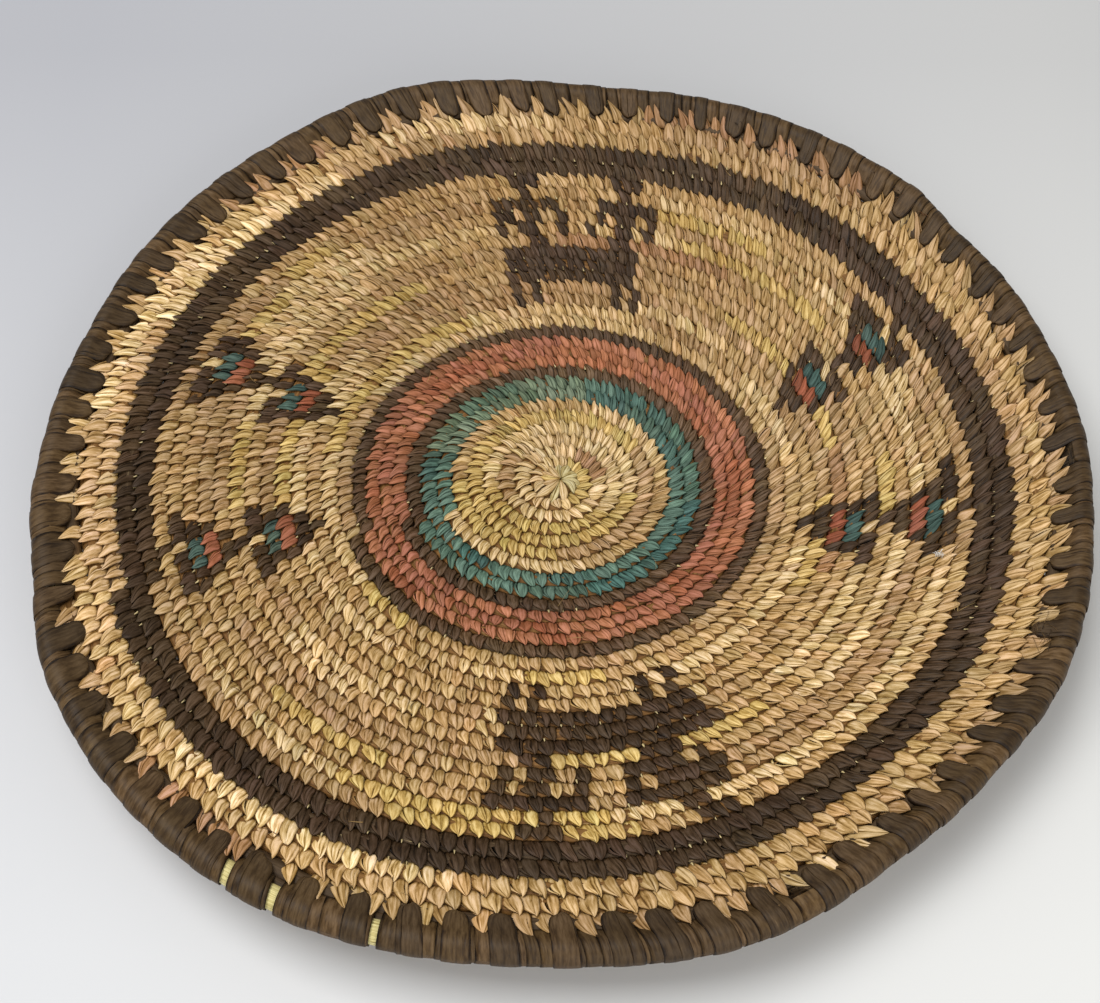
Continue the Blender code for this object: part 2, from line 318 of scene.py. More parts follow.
NATURALS = palette("d4b583 c7a865 bb9968 b29065 a98059")
CREAM, YELLOW, TAN, _, _ = NATURALS
DARKS = palette("473522 4d3a25 3f2e1d 4a3726")
RING_DARKS = palette("59422d 523e2a 5e4730")
TEALS = palette("526a5a 4a655a 5a7363 4c6152 44645b")
OLIVE_TEALS = palette("5f6c53 67745b 566a55 6d7a62")
RUSTS = palette("9f6443 96593b a96e4e 9c6248")


def runs(count, colours, least, most):
    """Colours that change every few stitches."""
    picks = []
    while len(picks) < count:
        picks.extend([int(rng.integers(0, len(colours)))] * int(rng.integers(least, most)))
    return np.array(colours)[picks[:count]]


def run_weights(row, azimuth):
    """How often a run of natural stitches is cream, yellow, tan, pink or reddish."""
    if row == BORDER_ROW and 236 < azimuth < 275 or row == BORDER_ROW + 1 and 176 < azimuth < 193:
        return 1, 0, 0, 0, 0
    if row == 1:
        return 0.5, 0.35, 0.15, 0, 0
    if row == 2:
        return 0.15, 0.1, 0.3, 0.1, 0.35
    if row in (3, 4) and (azimuth < 60 or azimuth > 230):
        return 0.2, 0.6, 0.2, 0, 0
    if row < TEAL_ROW:
        return 0.38, 0.2, 0.34, 0.08, 0
    if row >= LAST_ROW:
        return 0.08, 0, 0.5, 0.34, 0.08
    if row >= BORDER_ROW:
        return 0.26, 0.03, 0.48, 0.2, 0.03
    return 0.16, 0.15, 0.42, 0.24, 0.03


def tones_of_stitches():
    tones = np.zeros((COUNT, 3))
    number = 0
    while number < COUNT:
        run = int(rng.integers(5, 22))
        weights = np.array(run_weights(ROWS[number], AZIMUTHS[number]))
        tones[number:number + run] = NATURALS[rng.choice(5, p=weights / sum(weights))]
        number += run
    for strip, colours in ((TEAL, TEALS), (DARK, DARKS), (RUST, RUSTS)):
        chosen = np.nonzero(STRIPS == strip)[0]
        tones[chosen] = runs(len(chosen), colours, 1, 8)
    ring = np.nonzero((STRIPS == DARK) & (ROWS < FIELD_ROW))[0]
    tones[ring] = runs(len(ring), RING_DARKS, 2, 8)
    olive = np.nonzero((STRIPS == TEAL) & (ROWS < FIELD_ROW) & (AZIMUTHS > 75) & (AZIMUTHS < 165))[0]
    tones[olive] = runs(len(olive), OLIVE_TEALS, 2, 8)
    figure = (ROWS >= FIELD_ROW) & ((STRIPS == TEAL) | (STRIPS == RUST))
    tones[figure] *= (0.86, 0.74, 0.74)
    tones[CREAMS] = CREAM
    sine = np.sin(np.radians(AZIMUTHS))[:, None]
    cosine = np.cos(np.radians(AZIMUTHS))[:, None]
    natural = STRIPS == NATURAL
    tones[natural] *= (1.0, 0.99, 0.95)
    # The border is palest at the left and darkest and warmest at the top
    border = natural & (ROWS >= BORDER_ROW)
    high = sine[border]
    brightness = 1.2 - 0.12 * cosine[border] - np.interp(high, (-1, 0, 1), (0.08, -0.06, 0.34))
    tones[border] *= brightness * (1 - np.clip(high, 0, 1) * np.array((0, 0.03, 0.07)))
    tones[ROWS == LAST_ROW] *= 0.94
    tones[natural & (ROWS < TEAL_ROW)] *= 0.94
    # Painted shade makes the field a little darker and warmer at the top, and painted light a little paler at
    # the right
    field = natural & (ROWS >= FIELD_ROW) & (ROWS < DOUBLE_ROW)
    tones[field] *= 0.96 - 0.13 * sine[field] + 0.05 * cosine[field]
    tones[field] *= 1 - np.clip(sine[field], 0, 1) ** 3 * np.array((0.02, 0.08, 0.16))
    tones[border] *= 1 + np.clip(-cosine[border], 0, 1) * np.array((0.06, 0.1, 0.19))
    rust = STRIPS == RUST
    tones[rust] *= 1 + 0.07 * cosine[rust]
    spread = np.where(natural, 0.08, 0.11)
    tones *= 1 + rng.normal(0, 1, (COUNT, 1)) * spread[:, None]
    tones *= 1 + rng.normal(0, 0.018, (COUNT, 3))
    return np.clip(tones, 0.002, 0.95)


TONES = tones_of_stitches()


# Long stitches of the rim: their places, widths and lean

LONG_TURNS = RIM_START + (np.arange(LONG_STITCHES) + STITCH_PHASE_SHARE) / LONG_STITCHES
LONG_TURNS = LONG_TURNS + np.clip(rng.normal(0, 0.0013, LONG_STITCHES), -0.0026, 0.0026)
LONG_ANGLES = angle_of(LONG_TURNS)
LONG_WIDTHS = rng.normal(7.8, 0.8, LONG_STITCHES) - 1.1 * np.cos(LONG_ANGLES) - 0.5 * np.sin(LONG_ANGLES)
LONG_WIDTHS = np.clip(LONG_WIDTHS, 5.4, 10.2) * MM
RIM_LEAN = math.tan(math.radians(13))
# A stitch of the last row is left out where it lies this deep under a long stitch
HIDING_DEPTH = 1.7 * MM
RIM_AROUND = float(round_row(RIM_START + 0.5))


def rim_taper(turn):
    """The rim grows thinner toward its end."""
    left = (RIM_END - turn) / TAPER_SHARE
    return TAPER_END_SHARE + (1 - TAPER_END_SHARE) * np.clip(left, 0, 1)


def rim_width(turn):
    """Width of the rim, which swells where the last row runs into it."""
    swelling = 1 - (turn - RIM_START) / SWELL_END_SHARE
    return RIM_WIDTH * (rim_taper(turn) + SWELL_SHARE * np.maximum(0, swelling))


def rim_out(turn):
    """How far the rim's middle lies outside its row's middle. Its end is pulled in over its beginning."""
    pulled = np.clip((turn - RIM_END + 0.03) / 0.03, 0, 1)
    pushed = np.clip(1 - (turn - RIM_START) / 0.02, 0, 1)
    return (rim_width(turn) - pitch_at(turn) + ROW_GAP) / 2 + (0.9 * pushed - 1.3 * pulled ** 2) * MM


def under_long_stitches():
    """Stitches of the last border row that a long stitch takes the place of."""
    inward = rim_out(LONG_TURNS) + rim_width(LONG_TURNS) / 2 + pitch_at(LONG_TURNS) * 0.8
    axes = LONG_TURNS + RIM_LEAN * inward / RIM_AROUND - 1
    away = np.abs(PLACES[:, None] - axes[None]) * RIM_AROUND - LONG_WIDTHS[None] / 2
    return (ROWS == LAST_ROW) & (away.min(1) < -HIDING_DEPTH)


HIDDEN = under_long_stitches()


# Stitches as meshes

TOP_ACROSS = np.array([-1, -0.8, -0.52, -0.26, 0, 0.26, 0.52, 0.8, 1])
TOP_ALONG = np.array([0, 0.1, 0.2, 0.33, 0.47, 0.62, 0.77, 0.9, 1])
# A stitch starts this far inside its row's middle and is this long, in steps between rows
REACH_START = -0.6
REACH_LENGTH = 1.22
BORDER_LENGTH = 1.55
# Width of a stitch at each station along it, in the last border row too
WIDTH_SHARES = (0.84, 1.02, 1.1, 1.1, 1.05, 0.94, 0.73, 0.42, 0.05)
BORDER_WIDTH_SHARES = (0.9, 1.06, 1.12, 1.08, 0.95, 0.76, 0.52, 0.27, 0.03)
# Height of a stitch above the crest of its row, in mm, at each station along it
STITCH_RISES = (-1.35, -1.15, -0.86, -0.42, -0.08, 0.08, 0.06, -0.12, -0.36)
BORDER_RISES = (-1.35, -1.15, -0.86, -0.42, -0.08, 0.08, 0.24, 0.5, 0.68)
# Shares of the stitches whose tip may split, that are two strands and that have a second crease
SPLIT_SHARE = 0.5
TWO_STRAND_SHARE = 0.78
SECOND_CREASE_SHARE = 0.45
# A place across the strip that no point of it has
NO_FOLD = 9.0


def column(values):
    """One value for each strip, to go with places across it."""
    return values[:, None]


def block(values):
    """One value for each strip, to go with places along and across it."""
    return values[:, None, None]


def stitch_shapes(chosen):
    """Points of the leaf-shaped upper sides, as stitches by along by across, and where each is creased."""
    n = len(chosen)
    turn = PLACES[chosen]
    gap = GAPS[chosen]
    pitch = pitch_at(turn)
    last = ROWS[chosen] == LAST_ROW
    lean = lean_at(turn) + np.radians(rng.normal(0, 1, n)) * np.where(last, 8, 5)
    length = np.interp(ROWS[chosen], (DOUBLE_ROW - 1, DOUBLE_ROW, BORDER_ROW), (REACH_LENGTH, 1.27, 1.33))
    length = np.where(last, BORDER_LENGTH, length)
    length = length * (1 + rng.normal(0, 1, n) * np.where(last, 0.08, 0.05))
    wide = 1.1 + rng.normal(0, 0.08, n)
    turn = turn + rng.normal(0, 0.05, n) * gap / AROUND[chosen]
    roll = rng.normal(0.21, 0.09, n)
    plump = 1 + rng.normal(0, 0.15, n)
    lift = rng.normal(0, 0.09, n)
    split = np.where(rng.random(n) < SPLIT_SHARE, rng.uniform(0.04, 0.13, n), 0)
    bend = rng.normal(-0.03, 0.06, n)
    tip_side = rng.normal(0.2, 0.09, n)
    # Most stitches are two strands side by side, the clockwise one lower and shorter
    ledge_at = rng.integers(2, 5, n)
    ledge = np.where(rng.random(n) < TWO_STRAND_SHARE, rng.uniform(0.18, 0.42, n), 0)
    ledge = np.where(last, ledge * 0.55, ledge)
    split = np.where((ledge > 0) | last, 0, split)
    tip_side = np.where(ledge > 0, tip_side + 0.06, tip_side)
    lower = (np.arange(len(TOP_ACROSS))[None] <= ledge_at[:, None]) * (ledge[:, None] > 0)
    shorter = lower * (rng.uniform(0.06, 0.2, n) * np.where(last, 0.35, 1))[:, None]
    # Every stitch has one crease and some have a second, three places away
    first = rng.integers(2, 7, n)
    second = np.where(rng.random(n) < SECOND_CREASE_SHARE, np.where(first < 4, first + 3, first - 3), first)
    dent = np.zeros((n, len(TOP_ACROSS)))
    dent[np.arange(n), first] += rng.uniform(0.1, 0.3, n)
    dent[np.arange(n), second] += rng.uniform(0.05, 0.2, n)
    from_fold = np.abs(TOP_ACROSS[None] - TOP_ACROSS[first][:, None])
    drawn_back = np.clip(1 - from_fold / 0.3, 0, 1)[:, None, :]
    v = TOP_ALONG[None, :, None]
    u = TOP_ACROSS[None, None, :]
    width = np.where(last[:, None], BORDER_WIDTH_SHARES, WIDTH_SHARES)[:, :, None]
    rise = np.where(last[:, None], BORDER_RISES, STITCH_RISES)[:, :, None]
    # A split tip draws its crease back
    tip_share = np.clip((v - 0.66) / 0.34, 0, 1)
    fin_share = np.clip((v - 0.35) / 0.65, 0, 1) ** 1.4
    v_here = v - (block(split) * drawn_back + shorter[:, None, :]) * tip_share
    out = (REACH_START + v_here * block(length)) * block(pitch)
    half = block(gap) / 2 * block(wide) * (width + block(split) * 2.2 * tip_share)
    side = u * half + block(bend) * block(gap) * np.sin(math.pi * v)
    side = side + block(tip_side) * block(gap) * fin_share
    ccw = side + np.tan(block(lean)) * out
    body = np.sin(math.pi * np.clip(v * 0.86 + 0.1, 0, 1))
    up = rise + block(lift) * body
    up = up - 0.36 * np.abs(u) ** 2.6 * block(plump)
    up = up - (lower * ledge[:, None])[:, None, :] * (0.3 + 0.7 * body)
    up = up + block(roll) * u * body
    up = up - dent[:, None, :] * (0.25 + 0.75 * body)
    up = CREST + up * MM
    here = block(turn) - ccw / block(round_row(turn))
    crease = np.where(ledge > 0, (TOP_ACROSS[ledge_at] + TOP_ACROSS[ledge_at + 1]) / 2, TOP_ACROSS[first])
    folds = np.stack([crease, TOP_ACROSS[second], 0 * turn], -1) / 2 + 0.5
    return place(here, out, up), folds


def leaf_faces(along, across):
    """Faces of a closed leaf: its upper grid and a plain underside, and its two ends."""
    quads = []
    last = (along - 1) * across
    for first in range(0, last, across):
        quads += [(c, c + 1, c + across + 1, c + across) for c in range(first, first + across - 1)]
        quads.append((first + across - 1, first, first + across, first + 2 * across - 1))
    return [quads, [tuple(range(across - 1, -1, -1)), tuple(range(last, last + across))]]


def strips(points, faces, across, along, tones, folds=None):
    """Mesh data of like strips, from points as strips by along by across and the faces of one strip."""
    count, size = len(points), points.shape[1] * points.shape[2]
    first = np.arange(count)[:, None, None] * size
    if folds is None:
        folds = np.full((count, 3), NO_FOLD)
    return {
        "points": points.reshape(-1, 3),
        "faces": [(first + np.array(kind)).reshape(-1, len(kind[0])) for kind in faces],
        "uv": np.tile(np.stack(np.meshgrid(across, along), -1).reshape(-1, 2), (count, 1)),
        "tone": tones.repeat(size, 0),
        "seed": rng.random(count).repeat(size),
        "folds": folds.repeat(size, 0),
    }


def leaves(points, across, along, tones, folds=None):
    return strips(points, leaf_faces(*points.shape[1:3]), across, along, tones, folds)


def add_object(name, data):
    obj = bpy.data.objects.new(name, data)
    bpy.context.scene.collection.objects.link(obj)
    return obj


def add_piece(name, sheets, material, slot, *nodes):
    """A piece of the tray from sheets of mesh data, with the CAD nodes that it stands for, if any."""
    starts = np.cumsum([0] + [len(sheet["points"]) for sheet in sheets])
    kinds = range(len(sheets[0]["faces"]))
    faces = [sheet["faces"][kind] + start for kind in kinds for sheet, start in zip(sheets, starts)]
    points, uvs, tones, seeds, folds = (
        np.concatenate([sheet[key] for sheet in sheets]) for key in ("points", "uv", "tone", "seed", "folds"))
    points[:, 2] = np.maximum(points[:, 2], SOLE)
    tones = np.concatenate([tones, np.ones((len(tones), 1))], 1)
    loops = np.concatenate([kind.reshape(-1) for kind in faces])
    sizes = np.concatenate([np.full(len(kind), kind.shape[1]) for kind in faces])
    mesh = bpy.data.meshes.new(name)
    mesh.vertices.add(len(points))
    mesh.vertices.foreach_set("co", points.astype(np.float32).reshape(-1))
    mesh.loops.add(len(loops))
    mesh.loops.foreach_set("vertex_index", loops.astype(np.int32))
    mesh.polygons.add(len(sizes))
    mesh.polygons.foreach_set("loop_start", (np.cumsum(sizes) - sizes).astype(np.int32))
    mesh.polygons.foreach_set("use_smooth", np.ones(len(sizes), bool))
    mesh.update(calc_edges=True)
    mesh.validate()
    mesh.uv_layers.new(name="UVMap").data.foreach_set("uv", uvs[loops].astype(np.float32).reshape(-1))
    tone = mesh.color_attributes.new("tone", "FLOAT_COLOR", "POINT")
    tone.data.foreach_set("color", tones.astype(np.float32).reshape(-1))
    for key, kind, field, values in (("seed", "FLOAT", "value", seeds),
                                     ("folds", "FLOAT_VECTOR", "vector", folds)):
        attribute = mesh.attributes.new(key, kind, "POINT")
        attribute.data.foreach_set(field, values.astype(np.float32).reshape(-1))
    mesh.materials.append(material)
    obj = add_object(name, mesh)
    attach(obj, "root")
    if nodes:
        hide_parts(*nodes)


# Materials

def new_material(name):
    material = bpy.data.materials.new(name)
    material.use_nodes = True
    tree = material.node_tree
    return material, tree, tree.nodes["Principled BSDF"]


def node(tree, kind, **settings):
    made = tree.nodes.new(kind)
    for key, value in settings.items():
        setattr(made, key, value)
    return made


def math_node(tree, operation, first, second=None, clamp=False):
    made = node(tree, "ShaderNodeMath", operation=operation, use_clamp=clamp)
    for number, value in enumerate((first, second)):
        if value is None:
            continue
        if isinstance(value, (int, float)):
            made.inputs[number].default_value = value
        else:
            tree.links.new(value, made.inputs[number])
    return made.outputs[0]


def noise_node(tree, places, scales, detail):
    """Noise drawn out along the strip, from places across and along it and a seed."""
    join = node(tree, "ShaderNodeCombineXYZ")
    for number, (value, scale) in enumerate(zip(places, scales)):
        tree.links.new(math_node(tree, "MULTIPLY", value, scale), join.inputs[number])
    made = node(tree, "ShaderNodeTexNoise")
    for name, number in (("Scale", 1.0), ("Detail", detail), ("Roughness", 0.62)):
        made.inputs[name].default_value = number
    tree.links.new(join.outputs[0], made.inputs["Vector"])
    return made.outputs["Fac"]


def blend(tree, value, low, high, first, second, most=1.0):
    """A colour that goes from the first toward the second while the value goes from low to high."""
    ramp = node(tree, "ShaderNodeMapRange")
    for name, number in (("From Min", low), ("From Max", high), ("To Max", most)):
        ramp.inputs[name].default_value = number
    tree.links.new(value, ramp.inputs["Value"])
    mix = node(tree, "ShaderNodeMix", data_type="RGBA")
    tree.links.new(ramp.outputs[0], mix.inputs["Factor"])
    for number, colour in ((6, first), (7, second)):
        if isinstance(colour, tuple):
            mix.inputs[number].default_value = (*colour, 1)
        else:
            tree.links.new(colour, mix.inputs[number])
    return mix.outputs[2]


def strip_material(name, fibres_across, contrast, bump_depth, roughness, fleck=None, fleck_share=0.0,
                   specular=0.3, painted_edge_shade=0.34, painted_start_shade=0.0, warmth=(0.84, 1.0, 1.5), crease=0.066):
    """A flat dried strip: fibres run along it, painted shade darkens its creases, its edges and, when asked,
    its start under the row before, and the mesh gives its tone.
    """
    material, tree, shader = new_material(name)
    link = tree.links.new
    maths = partial(math_node, tree)
    plus, less, times = (partial(maths, operation) for operation in ("ADD", "SUBTRACT", "MULTIPLY"))
    uv = node(tree, "ShaderNodeUVMap", uv_map="UVMap")
    split = node(tree, "ShaderNodeSeparateXYZ")
    link(uv.outputs[0], split.inputs[0])
    across, along = split.outputs[0], split.outputs[1]
    seed, tone, crease_places = (
        node(tree, "ShaderNodeAttribute", attribute_name=name).outputs[output]
        for name, output in (("seed", "Fac"), ("tone", "Color"), ("folds", "Vector")))
    fibre = noise_node(tree, (across, along, seed), (fibres_across, 1.3, 57.0), detail=4.0)
    # Fibre lines: darker and lighter streaks about the tone
    sharp = maths("DIVIDE", less(fibre, 0.38), 0.24, clamp=True)
    total = times(less(sharp, 0.5), contrast * 2)
    total = plus(total, 1.0)
    # Painted shade along the edges, where a strip meets its neighbours
    folded = maths("FRACT", times(across, 0.9999))
    away = maths("ABSOLUTE", less(times(folded, 2.0), 1.0))
    edge = times(maths("POWER", away, 6.0), -painted_edge_shade)
    total = plus(total, edge)
    # Blotches along the strip
    blotch = noise_node(tree, (across, along, seed), (1.3, 1.7, 91.0), detail=2.0)
    total = plus(total, times(less(blotch, 0.5), 0.36))
    # Creases: a thin line of painted shade at each, with the strip a little lighter to one side of the first
    folds = node(tree, "ShaderNodeSeparateXYZ")
    link(crease_places, folds.inputs[0])
    lines = None
    for number in (0, 1):
        off = less(across, folds.outputs[number])
        line = maths("DIVIDE", maths("ABSOLUTE", off), crease)
        line = less(1.0, line, clamp=True)
        lines = line if lines is None else maths("MAXIMUM", lines, line)
        if number == 0:
            lighter = times(maths("GREATER_THAN", off, 0.0), 0.12)
            total = plus(total, less(lighter, 0.06))
    total = less(total, times(lines, 0.56))
    # Painted shade at the start of a stitch, where it goes down under the tips of the row before
    if painted_start_shade:
        from_start = maths("DIVIDE", along, 0.15, clamp=True)
        shade = plus(times(from_start, painted_start_shade), 1 - painted_start_shade)
        total = times(total, shade)
    total = maths("MAXIMUM", total, 0.12)
    # Dark parts, the painted shade among them, turn warm: blue falls most and red least
    powers = node(tree, "ShaderNodeCombineXYZ")
    for number, power in enumerate(warmth):
        link(maths("POWER", total, power), powers.inputs[number])
    scaled = node(tree, "ShaderNodeVectorMath", operation="MULTIPLY")
    link(tone, scaled.inputs[0])
    link(powers.outputs[0], scaled.inputs[1])
    colour = scaled.outputs[0]
    if fleck:
        colour = blend(tree, fibre, 0.66, 0.74, colour, fleck, fleck_share)
    link(colour, shader.inputs["Base Color"])
    link(plus(times(fibre, 0.22), roughness - 0.11), shader.inputs["Roughness"])
    bump = node(tree, "ShaderNodeBump")
    bump.inputs["Distance"].default_value = bump_depth
    bump.inputs["Strength"].default_value = 0.9
    link(less(fibre, times(lines, 0.8)), bump.inputs["Height"])
    link(bump.outputs[0], shader.inputs["Normal"])
    shader.inputs["Specular IOR Level"].default_value = specular
    return material


# The material and the slot of each kind of strip
LOOKS = {
    NATURAL: (strip_material("natural_strip_grass", 6.0, 0.42, 0.25 * MM, 0.55, painted_start_shade=0.43,
                             warmth=(0.84, 1.04, 1.72)), "natural_strip"),
    TEAL: (strip_material("teal_strip_grass", 6.5, 0.46, 0.22 * MM, 0.6, srgb("7f9a76"), 0.35, 0.25,
                          painted_start_shade=0.4, warmth=(1.1, 1.0, 1.05)), "teal_strip"),
    RUST: (strip_material("rust_strip_grass", 6.5, 0.34, 0.22 * MM, 0.6, srgb("cf9a72"), 0.3, 0.25,
                          painted_start_shade=0.4), "rust_strip"),
    DARK: (strip_material("dark_strip_grass", 6.5, 0.6, 0.22 * MM, 0.5, srgb("806b50"), 0.35, 0.2,
                          painted_start_shade=0.4), "dark_strip"),
}
# The rim's wraps and long stitches get strong painted shade along their edges
RIM_LOOK = (strip_material("rim_strip_bark", 8.0, 0.46, 0.3 * MM, 0.56, srgb("8a7350"), 0.3, 0.26,
                           painted_edge_shade=0.68, crease=0.026), "rim_strip")
STRAW_LOOK = (strip_material("bare_straw_stems", 5.0, 0.16, 0.15 * MM, 0.45), "bare_straw")
BUNDLE_LOOK = (strip_material("bundle_grass", 20.0, 0.4, 0.2 * MM, 0.65, srgb("d2bd84"), 0.75), "bare_straw")


# The stitches of the rows

NODE_OF_ZONE = {"centre": "centre_coil", "teal": "teal_ring", "inner_dark": "inner_dark_ring",
                "rust": "rust_ring", "outer_dark": "outer_dark_ring", "field": "natural_field",
                "double_ring": "dark_double_ring", "border": "natural_border"}

UNDER_ACROSS = np.array([-1, -0.5, 0, 0.5, 1])
UNDER_ALONG = np.array([0, 0.15, 0.38, 0.62, 0.85, 1])


def under_shapes(chosen):
    """The plainer stitches of the underside."""
    n = len(chosen)
    turn = PLACES[chosen] + 0.5 * GAPS[chosen] / AROUND[chosen]
    pitch = pitch_at(turn)
    lean = lean_at(turn) * 0.9 + np.radians(rng.normal(0, 4, n))
    wide = 1 + rng.normal(0, 0.05, n)
    roll = rng.normal(0, 0.1, n)
    v = UNDER_ALONG[None, :, None]
    u = UNDER_ACROSS[None, None, :]
    width, rise = (np.interp(UNDER_ALONG, (0, 0.15, 0.5, 0.85, 1), values)[None, :, None]
                   for values in ((0.5, 0.86, 1.0, 0.86, 0.5), (1.3, 0.6, 0.0, 0.6, 1.3)))
    out = (-0.53 + 1.06 * v + 0 * u) * block(pitch)
    half = block(GAPS[chosen]) / 2 * block(wide) * width
    ccw = u * half - np.tan(block(lean)) * out
    up = -CREST + (0.1 + rise + 0.5 * np.abs(u) ** 2.2 + block(roll) * u) * MM
    here = block(turn) - ccw / block(round_row(turn))
    return place(here, out, up)[:, :, ::-1]


def build_rows(name, inside, strip, *nodes):
    """One piece with the upper and the under stitches that one kind of strip makes inside some rows."""
    chosen = np.nonzero(inside & (STRIPS == strip))[0]
    shown = chosen[~HIDDEN[chosen]]
    top, folds = stitch_shapes(shown)
    under = under_shapes(chosen)
    sheets = [leaves(top, TOP_ACROSS / 2 + 0.5, TOP_ALONG, TONES[shown], folds),
              leaves(under, UNDER_ACROSS / 2 + 0.5, UNDER_ALONG, TONES[chosen])]
    add_piece(name, sheets, *LOOKS[strip], *nodes)


def build_all_rows():
    for name, turns, _ in ZONES[:-1]:
        start = ZONE_START[name]
        inside = (ROWS >= start) & (ROWS < start + turns)
        build_rows(name + "_stitches", inside, STRIP_OF_ZONE[name], NODE_OF_ZONE[name])
        if name == "field":
            for label, strip in (("dark", DARK), ("teal", TEAL), ("rust", RUST)):
                build_rows("figure_stitches_" + label, inside, strip)


build_all_rows()


# The grass bundle inside the rows

# Grass darkened as painted shade, for the deepest pits and the corner beside the rim, and the rows where the
# bundle has it
SHADE_PAINTED_GRASS = srgb("4a3822")
SHADE_PAINTED_GRASS_ROWS = (ZONE_START["inner_dark"], ZONE_START["outer_dark"], DOUBLE_ROW, DOUBLE_ROW + 1, LAST_ROW)


def around_tube(sides):
    return np.linspace(0, 2 * math.pi, sides, endpoint=False)[None, :]


def add_tube(name, points, across, along, tones, look, *nodes):
    """A closed tube of straw or grass, from points as stations by sides."""
    count, sides = points.shape[:2]
    ring = np.arange(sides)
    base = np.arange(count - 1)[:, None] * sides
    after = (ring + 1) % sides
    quads = np.stack([base + ring, base + sides + ring, base + sides + after, base + after], -1)
    tube = {
        "points": points.reshape(-1, 3),
        "faces": [quads.reshape(-1, 4), np.array([ring, (count - 1) * sides + ring[::-1]])],
        "uv": np.stack(np.meshgrid(ring / sides * across, along), -1).reshape(-1, 2),
        "tone": np.broadcast_to(tones, (count, 3)).repeat(sides, 0),
        "seed": np.zeros(count * sides),
        "folds": np.full((count * sides, 3), NO_FOLD),
    }
    add_piece(name, [tube], *look, *nodes)


def build_bundle():
    """The bundle follows the spiral. Its warm brown is painted shade over its straw for the pits between the
    stitches, and it is darker still, more painted shade, in the rows with dark strips and beside the rim.
    """
    first = 0.2
    turns = np.linspace(first, RIM_START, int((RIM_START - first) * 48) + 1)
    turn = turns[:, None]
    angle = around_tube(10)
    size = 1 + 0.05 * np.sin(angle * 5 + turn * 40)
    out = pitch_at(turn) * 0.47 * np.cos(angle) * size
    points = place(turn + 0 * angle, out, 1.95 * MM * np.sin(angle) * size)
    points[..., 2] = np.maximum(points[..., 2], 2 * SOLE)
    length = sums(2 * math.pi * np.diff(turns) * ring_radius(turns[:-1]))
    # Painted shade: a warm brown in most rows and the darker grass in the rows with dark strips and beside
    # the rim
    tones = np.where(np.isin(np.floor(turns), SHADE_PAINTED_GRASS_ROWS)[:, None], SHADE_PAINTED_GRASS, srgb("7a5528"))
    add_tube("grass_bundle", points, 1, length * 60, tones, BUNDLE_LOOK)


build_bundle()


# The rim

# The section of a wrap round the rim, as shares of its half width and half height, from the outer side over
# the top. On the inner side it reaches in under the tips of the last border row.
WRAP_SECTION = ((1, 0), (0.94, 0.34), (0.77, 0.64), (0.5, 0.87), (0.17, 0.985), (-0.17, 0.985), (-0.5, 0.85),
                (-0.8, 0.67), (-1.1, 0.52), (-1.36, 0.4), (-1.22, 0.22), (-1.04, 0), (-0.94, -0.34),
                (-0.77, -0.64), (-0.5, -0.87), (-0.17, -0.985), (0.17, -0.985), (0.5, -0.87), (0.77, -0.64),
                (0.94, -0.34))
WRAP_ACROSS = np.array([-1, -0.55, 0, 0.55, 1])
# How far the wraps reach under the long stitches, and how much wider they are than their stretch of rim
UNDER_LONG_STITCH = 2.3 * MM
WRAP_OVERLAP = 1.2
RIM_TONES = palette("4a371d 4f3b20 413019 543f25 47351e")


def rim_tones(count, brightness):
    tones = np.array(RIM_TONES)[rng.integers(0, len(RIM_TONES), count)]
    return tones * (brightness + rng.normal(0, 0.08, (count, 1)))


def rim_point(turn, section, rise):
    """Points round the rim's section, raised off it by a small distance."""
    across, up = section
    size = math.hypot(across, up)
    return place(turn, rim_out(turn) + across * (rim_width(turn) / 2 + rise / size),
                 up * (RIM_HEIGHT * rim_taper(turn) / 2 + rise / size))


def wrap_spans():
    """The stretches of rim between the long stitches, broken at the breaks and cut into wraps."""
    half = (LONG_WIDTHS / 2 - UNDER_LONG_STITCH) / RIM_AROUND
    lows = np.concatenate([[RIM_START], LONG_TURNS + half])
    highs = np.concatenate([LONG_TURNS - half, [RIM_END]])
    spans = []
    for low, high in zip(lows, highs):
        pieces = [(low, high)]
        for share in BREAK_SHARES:
            middle = RIM_START + share
            if low < middle < high:
                reach = BREAK_WIDTH / 2 / RIM_AROUND
                pieces = [(low, middle - reach), (middle + reach, high)]
        for start, end in pieces:
            whole = len(pieces) == 2 or (end - start) * RIM_AROUND < 4 * MM
            parts = 1 if whole else int(rng.choice([2, 2, 3]))
            cuts = sums(rng.uniform(0.7, 1.3, parts))
            cuts = start + (end - start) * cuts / cuts[-1]
            spans.extend(zip(cuts, cuts[1:]))
    return np.array(spans)


